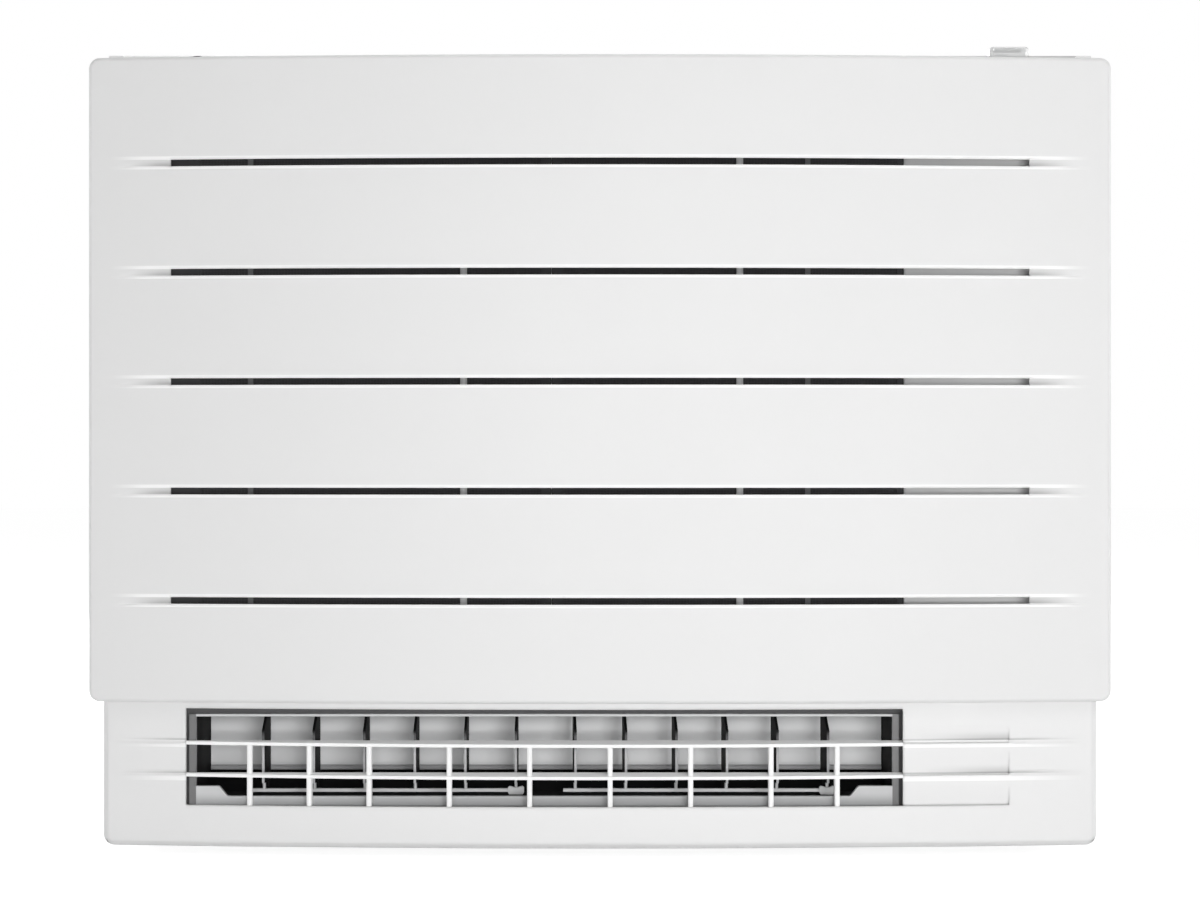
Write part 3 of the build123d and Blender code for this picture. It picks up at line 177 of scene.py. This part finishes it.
motor_paint = Finish("motor_black_paint", edge=0.0012)
peel = motor_paint.noise(700.0, 2.0)
motor_paint.paint(motor_paint.noise(40.0, 3.0).mix((0.03, 0.03, 0.032), (0.055, 0.055, 0.058)))
motor_paint.dull(0.34 + 0.15 * (peel - 0.5))
motor_paint.relief(peel, 0.00005, 0.5)
motor_paint.on("fan_motor")

zinc = Finish("bright_zinc_plate", metallic=1.0, edge=0.0005)
bloom = zinc.noise(60.0, 4.0)
zinc.paint(bloom.mix((0.62, 0.64, 0.66), (0.76, 0.76, 0.74)))
zinc.dull(0.3 + 0.25 * (bloom - 0.4))
zinc.relief(zinc.noise(900.0, 2.0), 0.00003, 0.4)
zinc.on("motor_bracket", "fan_nut", "screws")

ground_steel = Finish("ground_steel", metallic=1.0, edge=0.0003)
rings = ground_steel.noise(3000.0, 1.0, (0.05, 1, 0.05))
ground_steel.paint(rings.mix((0.5, 0.5, 0.5), (0.63, 0.63, 0.64)))
ground_steel.dull(0.2 + 0.15 * rings)
ground_steel.relief(rings, 0.00001, 0.4)
ground_steel.on("motor_shaft")

# ---------------------------------------------------------------- heat exchanger
# A block of aluminium fins at a pitch of 1.3 mm with a water-shedding coat,
# galvanised end plates, and hairpin bends of bare copper at both ends.
fin_pitch = 0.0013
tube_pitch = 0.021
fins = Finish("coated_aluminium_fins", metallic=0.85, edge=0.0002)
fin_edge = fins.x.maths("SINE", fins.x * (2 * pi / fin_pitch))
tube_rows = fins.z.maths("SINE", fins.z * (2 * pi / tube_pitch))
bent = fins.noise(90.0, 3.0, (1, 1, 0.2))
# The dark stripes between the bright fin edges are painted shade in the gaps between the fins.
bright_edge = (fin_edge + 1.4 * (bent - 0.5)).step(-0.6, 0.7)
fins.paint(bright_edge.mix((0.16, 0.19, 0.22), (0.66, 0.7, 0.73)))
fins.dull(0.38 + 0.06 * tube_rows)
fins.relief(fin_edge + 0.25 * tube_rows, 0.0004, 0.8)
fins.on("exchanger_fins")

galvanised = Finish("galvanised_sheet", metallic=1.0, edge=0.0004)
spangle = galvanised.place.node(
    "ShaderNodeTexVoronoi", {}, {"Vector": galvanised.place, "Scale": 130.0}, 1
)
crystal = galvanised.place.node("ShaderNodeSeparateXYZ", {}, {0: spangle}, 0)
galvanised.paint(crystal.mix((0.5, 0.52, 0.54), (0.68, 0.7, 0.71)))
galvanised.dull(0.32 + 0.16 * crystal)
galvanised.relief(crystal + galvanised.noise(200.0, 2.0), 0.00004, 0.4)
galvanised.on("exchanger_end_plates", "electrical_box", "electrical_cover")

copper = Finish("drawn_copper_tube", metallic=1.0, edge=0.0015)
tarnish = copper.noise(45.0, 5.0)
copper.paint(tarnish.step(0.4, 0.75).mix((0.78, 0.4, 0.24), (0.42, 0.2, 0.12)))
copper.dull(0.24 + 0.3 * tarnish.step(0.4, 0.8))
copper.relief(copper.noise(600.0, 2.0), 0.00003, 0.4)
copper.on("exchanger_bends", "gas_pipe", "liquid_pipe")

# ---------------------------------------------------------------- flare unions
# Forged brass unions that the pipes are brazed into; the hexagons are milled
# and the male ends carry a fine cut thread.
thread_pitch = 0.00127
thread_start = 0.0922  # depth at which the hexagon ends
brass = Finish("machined_brass", metallic=1.0, edge=0.0004)
stain = brass.noise(80.0, 4.0)
brass.paint(stain.step(0.45, 0.8).mix((0.78, 0.6, 0.3), (0.5, 0.34, 0.16)))
brass.dull(0.2 + 0.2 * stain)
cut = brass.y.maths("SINE", brass.y * (2 * pi / thread_pitch))
cut = cut * brass.y.step(thread_start, thread_start + 0.0002)
mill = brass.noise(1500.0, 1.0, (0.1, 1, 1))
brass.relief(cut + 0.08 * mill, 0.0005, 0.9)
brass.on("flare_unions")

# ---------------------------------------------------------------- drain pan
# A trough under the fins, moulded in light grey polystyrene and faintly
# stained.
pan_grey = Finish("drain_pan_grey_plastic", edge=0.0008)
tide = pan_grey.noise(25.0, 5.0, (0.3, 1, 2))
pan_grey.paint(tide.step(0.5, 0.75).mix((0.5, 0.505, 0.51), (0.42, 0.42, 0.41)))
pan_grey.dull(0.4 + 0.15 * tide)
pan_grey.relief(pan_grey.noise(1300.0, 1.0), 0.00004, 0.4)
pan_grey.on("drain_pan")

# ---------------------------------------------------------------- control board and terminals
# A green lacquered board with copper tracks and tall parts, and a nylon
# terminal block. Brass-coloured floors in its wells stand for the clamps.
board_face = 0.0357  # everything in front of it is a tall part
board_green = Finish("green_board_lacquer", roughness=0.35, edge=0.0006)
track = board_green.cells(160.0, "DISTANCE_TO_EDGE", (1, 0.2, 1))
tall = 1 - board_green.y.step(board_face, board_face + 0.0002)
lacquer = track.step(0.02, 0.05).mix((0.06, 0.24, 0.09), (0.02, 0.11, 0.045))
shade = board_green.cells(26.0, "F1", (1, 0.05, 1)).step(0.2, 0.6)
board_green.paint(tall.mix(lacquer, shade.mix((0.03, 0.03, 0.035), (0.2, 0.19, 0.17))))
board_green.relief(track.step(0.02, 0.05), 0.0001, 0.4)
board_green.on("control_board")

nylon = Finish("terminal_white_nylon", roughness=0.5, edge=0.0005)
aged = nylon.noise(90.0, 3.0)
well = nylon.y.step(-0.0084, -0.0079) * (1 - nylon.y.step(-0.0077, -0.0074))  # its floor
nylon.paint(well.mix(aged.mix((0.68, 0.67, 0.62), (0.74, 0.73, 0.69)), (0.55, 0.42, 0.2)))
nylon.relief(aged, 0.0001, 0.3)
nylon.on("terminal_block")

# ---------------------------------------------------------------- stepper motors
# Four small geared steppers in plated steel cans turn the flap, the shutter
# and the two upper vane groups.
can_steel = Finish("stepper_plated_can", metallic=1.0, edge=0.0008)
drawn = can_steel.noise(250.0, 2.0, (1, 0.2, 0.2))
can_steel.paint(drawn.mix((0.52, 0.52, 0.5), (0.66, 0.66, 0.64)))
can_steel.dull(0.28 + 0.2 * drawn)
can_steel.relief(drawn, 0.00003, 0.4)
can_steel.on("stepper_motors")

# ---------------------------------------------------------------- ducts
# Both air ducts are moulded in near black plastic. The flange round the mouth
# of the lower one is painted grey: painted light on its black edge.
duct_mouth = (-0.0878, -0.0872)
duct_black = Finish("near_black_duct_plastic", edge=0.0006, Specular_IOR_Level=0.1)
cloud = duct_black.noise(50.0, 3.0)
satin = duct_black.noise(1500.0, 1.0)
# Painted light: the black flange round the lower mouth is painted grey.
mouth_painted_light = 1 - duct_black.y.step(*duct_mouth)
walls = cloud.mix((0.006, 0.006, 0.0065), (0.012, 0.012, 0.0125))
duct_black.paint(mouth_painted_light.mix(walls, (0.12, 0.12, 0.122)))
duct_black.dull(0.7 + 0.15 * (cloud - 0.5))
duct_black.relief(satin, 0.00005, 0.5)
duct_black.on("lower_duct", "upper_duct")

# ---------------------------------------------------------------- lower vanes
# Twelve black vanes stand in two groups. Their thin front edges are painted
# bright low down, a painted highlight.
vanes_in_group = 6
vane_front = (-0.0727, -0.0722)
bright_height = (0.07, 0.092)
vane_black = Finish("vane_black_plastic", edge=0.0003, Specular_IOR_Level=0.1)
cloud = vane_black.noise(120.0, 3.0)
# Painted highlight on the front edges of the vanes, below bright_height only.
front = (1 - vane_black.y.step(*vane_front)) * (1 - vane_black.z.step(*bright_height))
sides = cloud.mix((0.006, 0.006, 0.0065), (0.013, 0.013, 0.0135))
vane_black.paint(front.mix(sides, (0.6, 0.6, 0.61)))
vane_black.dull(0.65 + 0.15 * (cloud - 0.5))
vane_black.relief(vane_black.noise(1500.0, 1.0), 0.00004, 0.4)
for group in ("left", "right"):
    vane_black.on(*(f"lower_vane_{group}_{number + 1}" for number in range(vanes_in_group)))

# ---------------------------------------------------------------- tie bars with hand tabs
# A thin bar joins each group of vanes and ends in a tab for the hand. Each is
# one moulding in light grey plastic.
tie_grey = Finish("tie_bar_light_grey", edge=0.0005)
cloud = tie_grey.noise(60.0, 3.0)
tie_grey.paint(cloud.mix((0.62, 0.625, 0.63), (0.68, 0.685, 0.69)))
tie_grey.dull(0.42 + 0.12 * (cloud - 0.5))
tie_grey.relief(tie_grey.noise(1500.0, 1.0), 0.00004, 0.4)
tie_grey.on("lower_tie_left", "lower_tie_right")

# ---------------------------------------------------------------- upper vanes and tie bars
# Six short vanes behind the top flap, in black, with plain black tie bars.
upper_black = Finish("upper_vane_black_plastic", edge=0.0004)
cloud = upper_black.noise(110.0, 3.0)
upper_black.paint(cloud.mix((0.03, 0.03, 0.032), (0.05, 0.05, 0.052)))
upper_black.dull(0.42 + 0.15 * (cloud - 0.5))
upper_black.relief(upper_black.noise(1500.0, 1.0), 0.00004, 0.4)
upper_black.on(
    *(f"upper_vane_{group}_{number}" for group in ("left", "right") for number in (1, 2, 3)),
    "upper_tie_left", "upper_tie_right",
)

# ---------------------------------------------------------------- lower shutter
# The shutter closes the lower duct behind the vanes. It is smooth pale grey
# plastic, with painted shade that darkens it towards its top edge and along
# its lower one.
lower_shade_height = (0.0584, 0.059)
upper_shade = (0.084, 0.1)
shutter_pale = Finish("shutter_pale_grey_plastic", edge=0.0005)
cloud = shutter_pale.noise(14.0, 3.0)
# Painted shade along the lower edge, and towards the top edge below.
painted_lower_shade = 1 - shutter_pale.z.step(*lower_shade_height)
shade = shutter_pale.z.step(*upper_shade)
pale_grey = shade.mix(cloud.mix((0.86, 0.865, 0.87), (0.9, 0.905, 0.91)), (0.44, 0.445, 0.45))
shutter_pale.paint(painted_lower_shade.mix(pale_grey, (0.5, 0.5, 0.51)))
shutter_pale.dull(0.42 + 0.1 * (cloud - 0.5))
shutter_pale.relief(shutter_pale.noise(1600.0, 1.0), 0.00004, 0.4)
shutter_pale.on("lower_shutter")

# ---------------------------------------------------------------- lower outlet rim
# Light grey frame round the mouth of the lower duct, clipped between duct and
# casing, with a ledge whose two ends stand up. Its posts and the foot of the
# ledge are painted darker, as painted shade.
ledge_top = (0.037, 0.047)
left_post, right_post = (-0.2972, -0.2968), (0.2148, 0.2152)
rim_grey = Finish("outlet_rim_light_grey", edge=0.0006)
cloud = rim_grey.noise(40.0, 3.0)
# Painted shade: the ledge lighter at its top and darker at its foot, and dark posts.
lit_ledge_top = rim_grey.z.step(*ledge_top)
ledge_grey = lit_ledge_top.mix((0.34, 0.345, 0.35), cloud.mix((0.54, 0.545, 0.55), (0.6, 0.605, 0.61)))
post_shade = 1 - rim_grey.x.step(*left_post) + rim_grey.x.step(*right_post)
rim_grey.paint(post_shade.mix(ledge_grey, (0.14, 0.14, 0.142)))
rim_grey.dull(0.45 + 0.12 * (cloud - 0.5))
rim_grey.relief(rim_grey.noise(1500.0, 1.0), 0.00004, 0.4)
rim_grey.on("lower_outlet_rim")

# ---------------------------------------------------------------- front casing
# The casing wraps the sides and the lower front, in white ABS with a soft
# gloss. The lines of the grille's two blades that run on over it are painted:
# a bright band for each, a painted highlight, with a painted shade above it.
bow_front = -0.119
bow_radius = 3.36
bow_centre = bow_front + bow_radius
bow_alike = (0.9975, 0.9997)  # a face this near to the bow shades as the bow
left_end, right_end = (-0.3012, -0.3), (0.2212, 0.2222)  # of the opening
blank_ramp, blank_end = (0.225, 0.3), (0.3, 0.301)
corner_fade = (0.3, 0.358)
blade_lines = (0.0581, 0.0826)
band_edge = (0.0024, 0.0028)
crease_shade = (0.0028, 0.0045)
blank_shade = (0.0028, 0.01)
front_depth = (-0.09, -0.085)


def shell_finish(name, colour, roughness, edge=0.0012):
    """White shell plastic whose front faces shade as one true bow."""
    shell = Finish(name, edge=edge)
    bow = shell.place.vector("ADD", shell.place, (0, -bow_centre, 0))
    bow = shell.place.vector("NORMALIZE", shell.place.vector("MULTIPLY", bow, (1, 1, 0)))
    shell.bow = bow
    alike = shell.place.node(
        "ShaderNodeVectorMath", {"operation": "DOT_PRODUCT"}, {0: bow, 1: shell.normal}, 1
    )
    shell.turn(alike.step(*bow_alike), bow)
    shell.flow = shell.noise(5.0, 3.0, (1, 1, 0.35))
    shell.grain = shell.noise(1300.0, 1.0)
    shell.colour = shell.flow.mix(colour, [part * 0.985 for part in colour])
    shell.paint(shell.colour)
    shell.dull(roughness + 0.08 * (shell.flow - 0.5) + 0.06 * (shell.grain - 0.5))
    shell.relief(shell.grain, 0.00003, 0.3)
    return shell


casing_white = shell_finish("casing_white_abs", (0.8, 0.8, 0.8), 0.45, 0.0035)
across = abs(casing_white.x)
outside = casing_white.x.step(*right_end) + 1 - casing_white.x.step(*left_end)
outside = outside * (1 - across.step(*corner_fade)) * (1 - casing_white.y.step(*front_depth))
blank = casing_white.x.step(*blank_ramp) * (1 - casing_white.x.step(*blank_end))
# Painted highlight bands along the blade lines, with painted shade above them.
highlight_bands, shades = 0.0, 0.0
for level in blade_lines:
    over = casing_white.z - level
    line = over.step(*band_edge)
    highlight_bands = highlight_bands + (1 - abs(over).step(*band_edge))
    shades = shades + line * (1 - over.step(*crease_shade)) * 0.6
    shades = shades + line * (1 - over.step(*blank_shade)) * blank * 0.6
shaded = (outside * shades).mix(casing_white.colour, (0.36, 0.36, 0.36))
casing_white.paint((outside * highlight_bands).mix(shaded, (0.95, 0.95, 0.95)))
casing_white.on("front_casing")

# ---------------------------------------------------------------- outlet grille
# Two long bowed blades and nine short uprights, moulded with the casing. They
# are painted brighter than it, as painted light, and shade partly as its face
# does.
# Painted light: the grille is a brighter white than the casing's same plastic.
grille_white = shell_finish("grille_white_abs", (0.95, 0.95, 0.95), 0.45, 0.0006)
lean = grille_white.normal.vector("ADD", grille_white.normal, grille_white.bow)
grille_white.normal = lean.vector("NORMALIZE", lean)
grille_white.relief(grille_white.grain, 0.00003, 0.3)
grille_white.on("outlet_grille")

# ---------------------------------------------------------------- air filters
# Two filters behind the slots: a fine polypropylene net welded into dark
# frames, with upright ribs and one cross rib.
net_pitch = 0.0011
rib_middle, rib_reach, rib_edge = -0.0525, 0.2065, (0.0018, 0.0022)
net = Finish("filter_net", roughness=0.7, edge=0.0004)
warp = net.x.maths("SINE", net.x * (2 * pi / net_pitch))
weft = net.z.maths("SINE", net.z * (2 * pi / net_pitch))
thread = warp.maths("MAXIMUM", warp, weft)
sunk = net.y.step(-0.0751, -0.0746) * (1 - net.y.step(-0.0737, -0.0733))
lint = net.noise(35.0, 5.0)
woven = (thread + 0.6 * (lint - 0.5)).step(-0.1, 0.8)
netting = woven.mix((0.02, 0.02, 0.021), (0.1, 0.1, 0.103))
rib = 1 - abs(abs(net.x - rib_middle) - rib_reach).step(*rib_edge)  # the two upright ribs
frame_grey = rib.mix((0.06, 0.06, 0.062), (0.2, 0.2, 0.203))
net.paint(sunk.mix(frame_grey, netting))
net.relief(sunk * thread, 0.0004, 0.7)
net.on("filter_left", "filter_right")

# ---------------------------------------------------------------- top cover and upper flap
# The cover is clipped over frame and casing; the flap closes the upper
# outlet in the same curve. Both are in the white of the casing.
cover_white = shell_finish("cover_white_abs", (0.79, 0.79, 0.79), 0.45, 0.0016)
cover_white.on("top_cover", "upper_flap")

# ---------------------------------------------------------------- display pod
# A milky translucent cap over the lamps, and the smoked window of the
# receiver set into its top.
milky = Finish("milky_pod_plastic", roughness=0.25, edge=0.0012, Alpha=0.6)
depths = milky.noise(150.0, 2.0)
milky.paint(depths.mix((0.9, 0.905, 0.905), (0.86, 0.87, 0.87)))
milky.relief(depths, 0.00004, 0.3)
milky.on("display_pod")

smoked = Finish("smoked_window", edge=0.0003, Coat_Weight=0.5, Coat_Roughness=0.04)
smear = smoked.noise(200.0, 4.0)
smoked.paint(smear.mix((0.012, 0.01, 0.014), (0.02, 0.018, 0.022)))
smoked.dull(0.08 + 0.12 * smear)
smoked.relief(smear, 0.00001, 0.3)
smoked.on("receiver_window")

# ---------------------------------------------------------------- power button
# A round push button in light grey plastic with a smooth finish; the edge of
# its top is chamfered.
button_grey = Finish("button_light_grey", edge=0.0006)
cloud = button_grey.noise(200.0, 2.0)
button_grey.paint(cloud.mix((0.5, 0.51, 0.52), (0.55, 0.56, 0.57)))
button_grey.dull(0.3 + 0.1 * cloud)
button_grey.relief(cloud, 0.00004, 0.3)
button_grey.on("power_button")

# ---------------------------------------------------------------- front panel
# The bowed panel is one large white moulding with a soft sheen, on two pins at
# its lower edge. The lips of its five slots are painted brighter, a painted
# highlight, and the grooves beyond them darker, a painted shade.
slot_first, slot_pitch, slot_half = 0.188, 0.08, 0.314
slots_end = (0.54, 0.55)
lip_inside, lip_outside, lip_fade = (0.0021, 0.0025), (0.0042, 0.0052), (0.325, 0.362)
groove_fade = (slot_half, 0.35)
groove_edge, groove_lean = (0.002, 0.0026), (-0.0018, 0.0018)
panel_white = shell_finish("panel_white_abs", (0.765, 0.765, 0.765), 0.5, 0.002)
height = panel_white.z - (slot_first - slot_pitch / 2)
above = height.maths("MODULO", height, slot_pitch) - slot_pitch / 2  # over the middle of a slot
off_slot = abs(above) + panel_white.z.step(*slots_end)  # no slot above the fifth
across = abs(panel_white.x)
lip = off_slot.step(*lip_inside) * (1 - off_slot.step(*lip_outside)) * (1 - across.step(*lip_fade))
# Beyond each end of a slot its groove fades out; it is painted shade, darkest along the lower lip.
groove_shade = across.step(slot_half - 0.0003, slot_half + 0.0003) * (1 - across.step(*groove_fade))
groove_shade = groove_shade * (1 - off_slot.step(*groove_edge)) * (1 - 0.6 * above.step(*groove_lean))
shaded = (groove_shade * 0.85).mix(panel_white.colour, (0.4, 0.4, 0.4))
# Painted highlight on the lips of the slots, painted shade in the grooves.
panel_white.paint(lip.mix(shaded, (0.97, 0.97, 0.97)))
# The lips shade as the face does.
panel_white.turn(lip, panel_white.bow)
panel_white.relief(panel_white.grain, 0.00003, 0.3)
panel_white.on("front_panel")

# ---------------------------------------------------------------- panel stoppers
# Two sliding catches stand on the top return of the panel. They are white ABS
# like the panel, a shade brighter and with nearly the same sheen.
stopper_white = shell_finish("stopper_white_abs", (0.8, 0.8, 0.8), 0.48, 0.0005)
stopper_white.on("panel_stopper_left", "panel_stopper_right")

# ---------------------------------------------------------------- floor, light and camera
# A plain pale floor and plain soft light. The camera stands low and straight
# in front, as the photograph's does.
sheet = bmesh.new()
bmesh.ops.create_grid(sheet, x_segments=1, y_segments=1, size=12)
floor_mesh = bpy.data.meshes.new("studio_floor")
sheet.to_mesh(floor_mesh)
sheet.free()
floor = bpy.data.objects.new("studio_floor", floor_mesh)
bpy.context.scene.collection.objects.link(floor)
pale = Finish("pale_floor", roughness=0.7)
pale.paint(pale.noise(3.0).mix((0.86, 0.86, 0.86), (0.87, 0.87, 0.87)))
floor_mesh.materials.append(pale.material)
# The camera, gloss and glass see the floor lifted to white; only the object's shadow stays.
rays = pale.place.node("ShaderNodeLightPath", {}, {})
glossy = pale.place.node("ShaderNodeLightPath", {}, {}, "Is Glossy Ray")
through = pale.place.node("ShaderNodeLightPath", {}, {}, "Is Transmission Ray")
seen = rays.maths("MAXIMUM", rays, rays.maths("MAXIMUM", glossy, through))
floor_glow = 0.8
lifted = pale.place.node("ShaderNodeEmission", {}, {"Color": (1, 1, 1), "Strength": floor_glow})
pale_shader = Wire(pale.tree, pale.shader.outputs[0])
both = pale.place.node("ShaderNodeAddShader", {}, {0: pale_shader, 1: lifted})
shown = pale.place.node("ShaderNodeMixShader", {}, {0: seen, 1: pale_shader, 2: both})
pale.tree.links.new(shown.socket, pale.tree.nodes["Material Output"].inputs[0])

world = bpy.data.worlds.new("studio_world")
world.use_nodes = True
bpy.context.scene.world = world
sky = Wire(world.node_tree, world.node_tree.nodes["Background"].outputs[0])
sky_light = 0.22
light = sky.node("ShaderNodeBackground", {}, {"Color": (1, 1, 1), "Strength": sky_light})
white = sky.node("ShaderNodeBackground", {}, {"Color": (1, 1, 1), "Strength": 1.0})
rays = sky.node("ShaderNodeLightPath", {}, {})
through = sky.node("ShaderNodeLightPath", {}, {}, "Is Transmission Ray")
seen = rays.maths("MAXIMUM", rays, through)
shown = sky.node("ShaderNodeMixShader", {}, {0: seen, 1: light, 2: white})
world.node_tree.links.new(shown.socket, world.node_tree.nodes["World Output"].inputs[0])


def soft_box(name, place, target, size, power):
    """Rectangular studio light that points at the unit."""
    lamp = bpy.data.lights.new(name, "AREA")
    lamp.shape = "RECTANGLE"
    lamp.size, lamp.size_y = size
    lamp.energy = power
    holder = bpy.data.objects.new(name, lamp)
    holder.location = place
    holder.rotation_euler = (Vector(target) - Vector(place)).to_track_quat("-Z", "Y").to_euler()
    bpy.context.scene.collection.objects.link(holder)


soft_box("front_light", (0.4, -2.8, 0.3), (0, 0, 0.3), (1.2, 0.5), 27)
soft_box("low_light", (0.15, -1.9, 0.12), (0, 0, 0.08), (1.2, 0.16), 5.5)
soft_box("key_light", (1.2, -1.5, 2.0), (0, 0, 0.4), (1.0, 1.0), 8)
soft_box("top_light", (0.2, 0.1, 2.6), (0, 0, 0.5), (1.6, 1.2), 15)
soft_box("left_light", (-2.8, 0.4, 0.9), (0, 0, 0.3), (1.2, 1.2), 20)
soft_box("right_light", (2.8, 0.4, 0.9), (0, 0, 0.3), (1.2, 1.2), 20)
soft_box("back_light", (-0.5, 2.8, 1.0), (0, 0, 0.3), (1.4, 1.2), 30)

frame_width = 1200  # pixels
focal_length = 2756  # pixels
sensor_width = 36
camera_height = 0.298
camera_distance = 2.0  # before the middle of the bow
lens = bpy.data.cameras.new("photo_camera")
lens.sensor_width = sensor_width
lens.lens = focal_length / frame_width * sensor_width
lens.clip_start = 0.01
camera = bpy.data.objects.new("photo_camera", lens)
camera.location = (0, bow_front - camera_distance, camera_height)
camera.rotation_euler = (radians(90), 0, 0)
bpy.context.scene.collection.objects.link(camera)
bpy.context.scene.camera = camera

bpy.context.scene.view_settings.view_transform = "Standard"
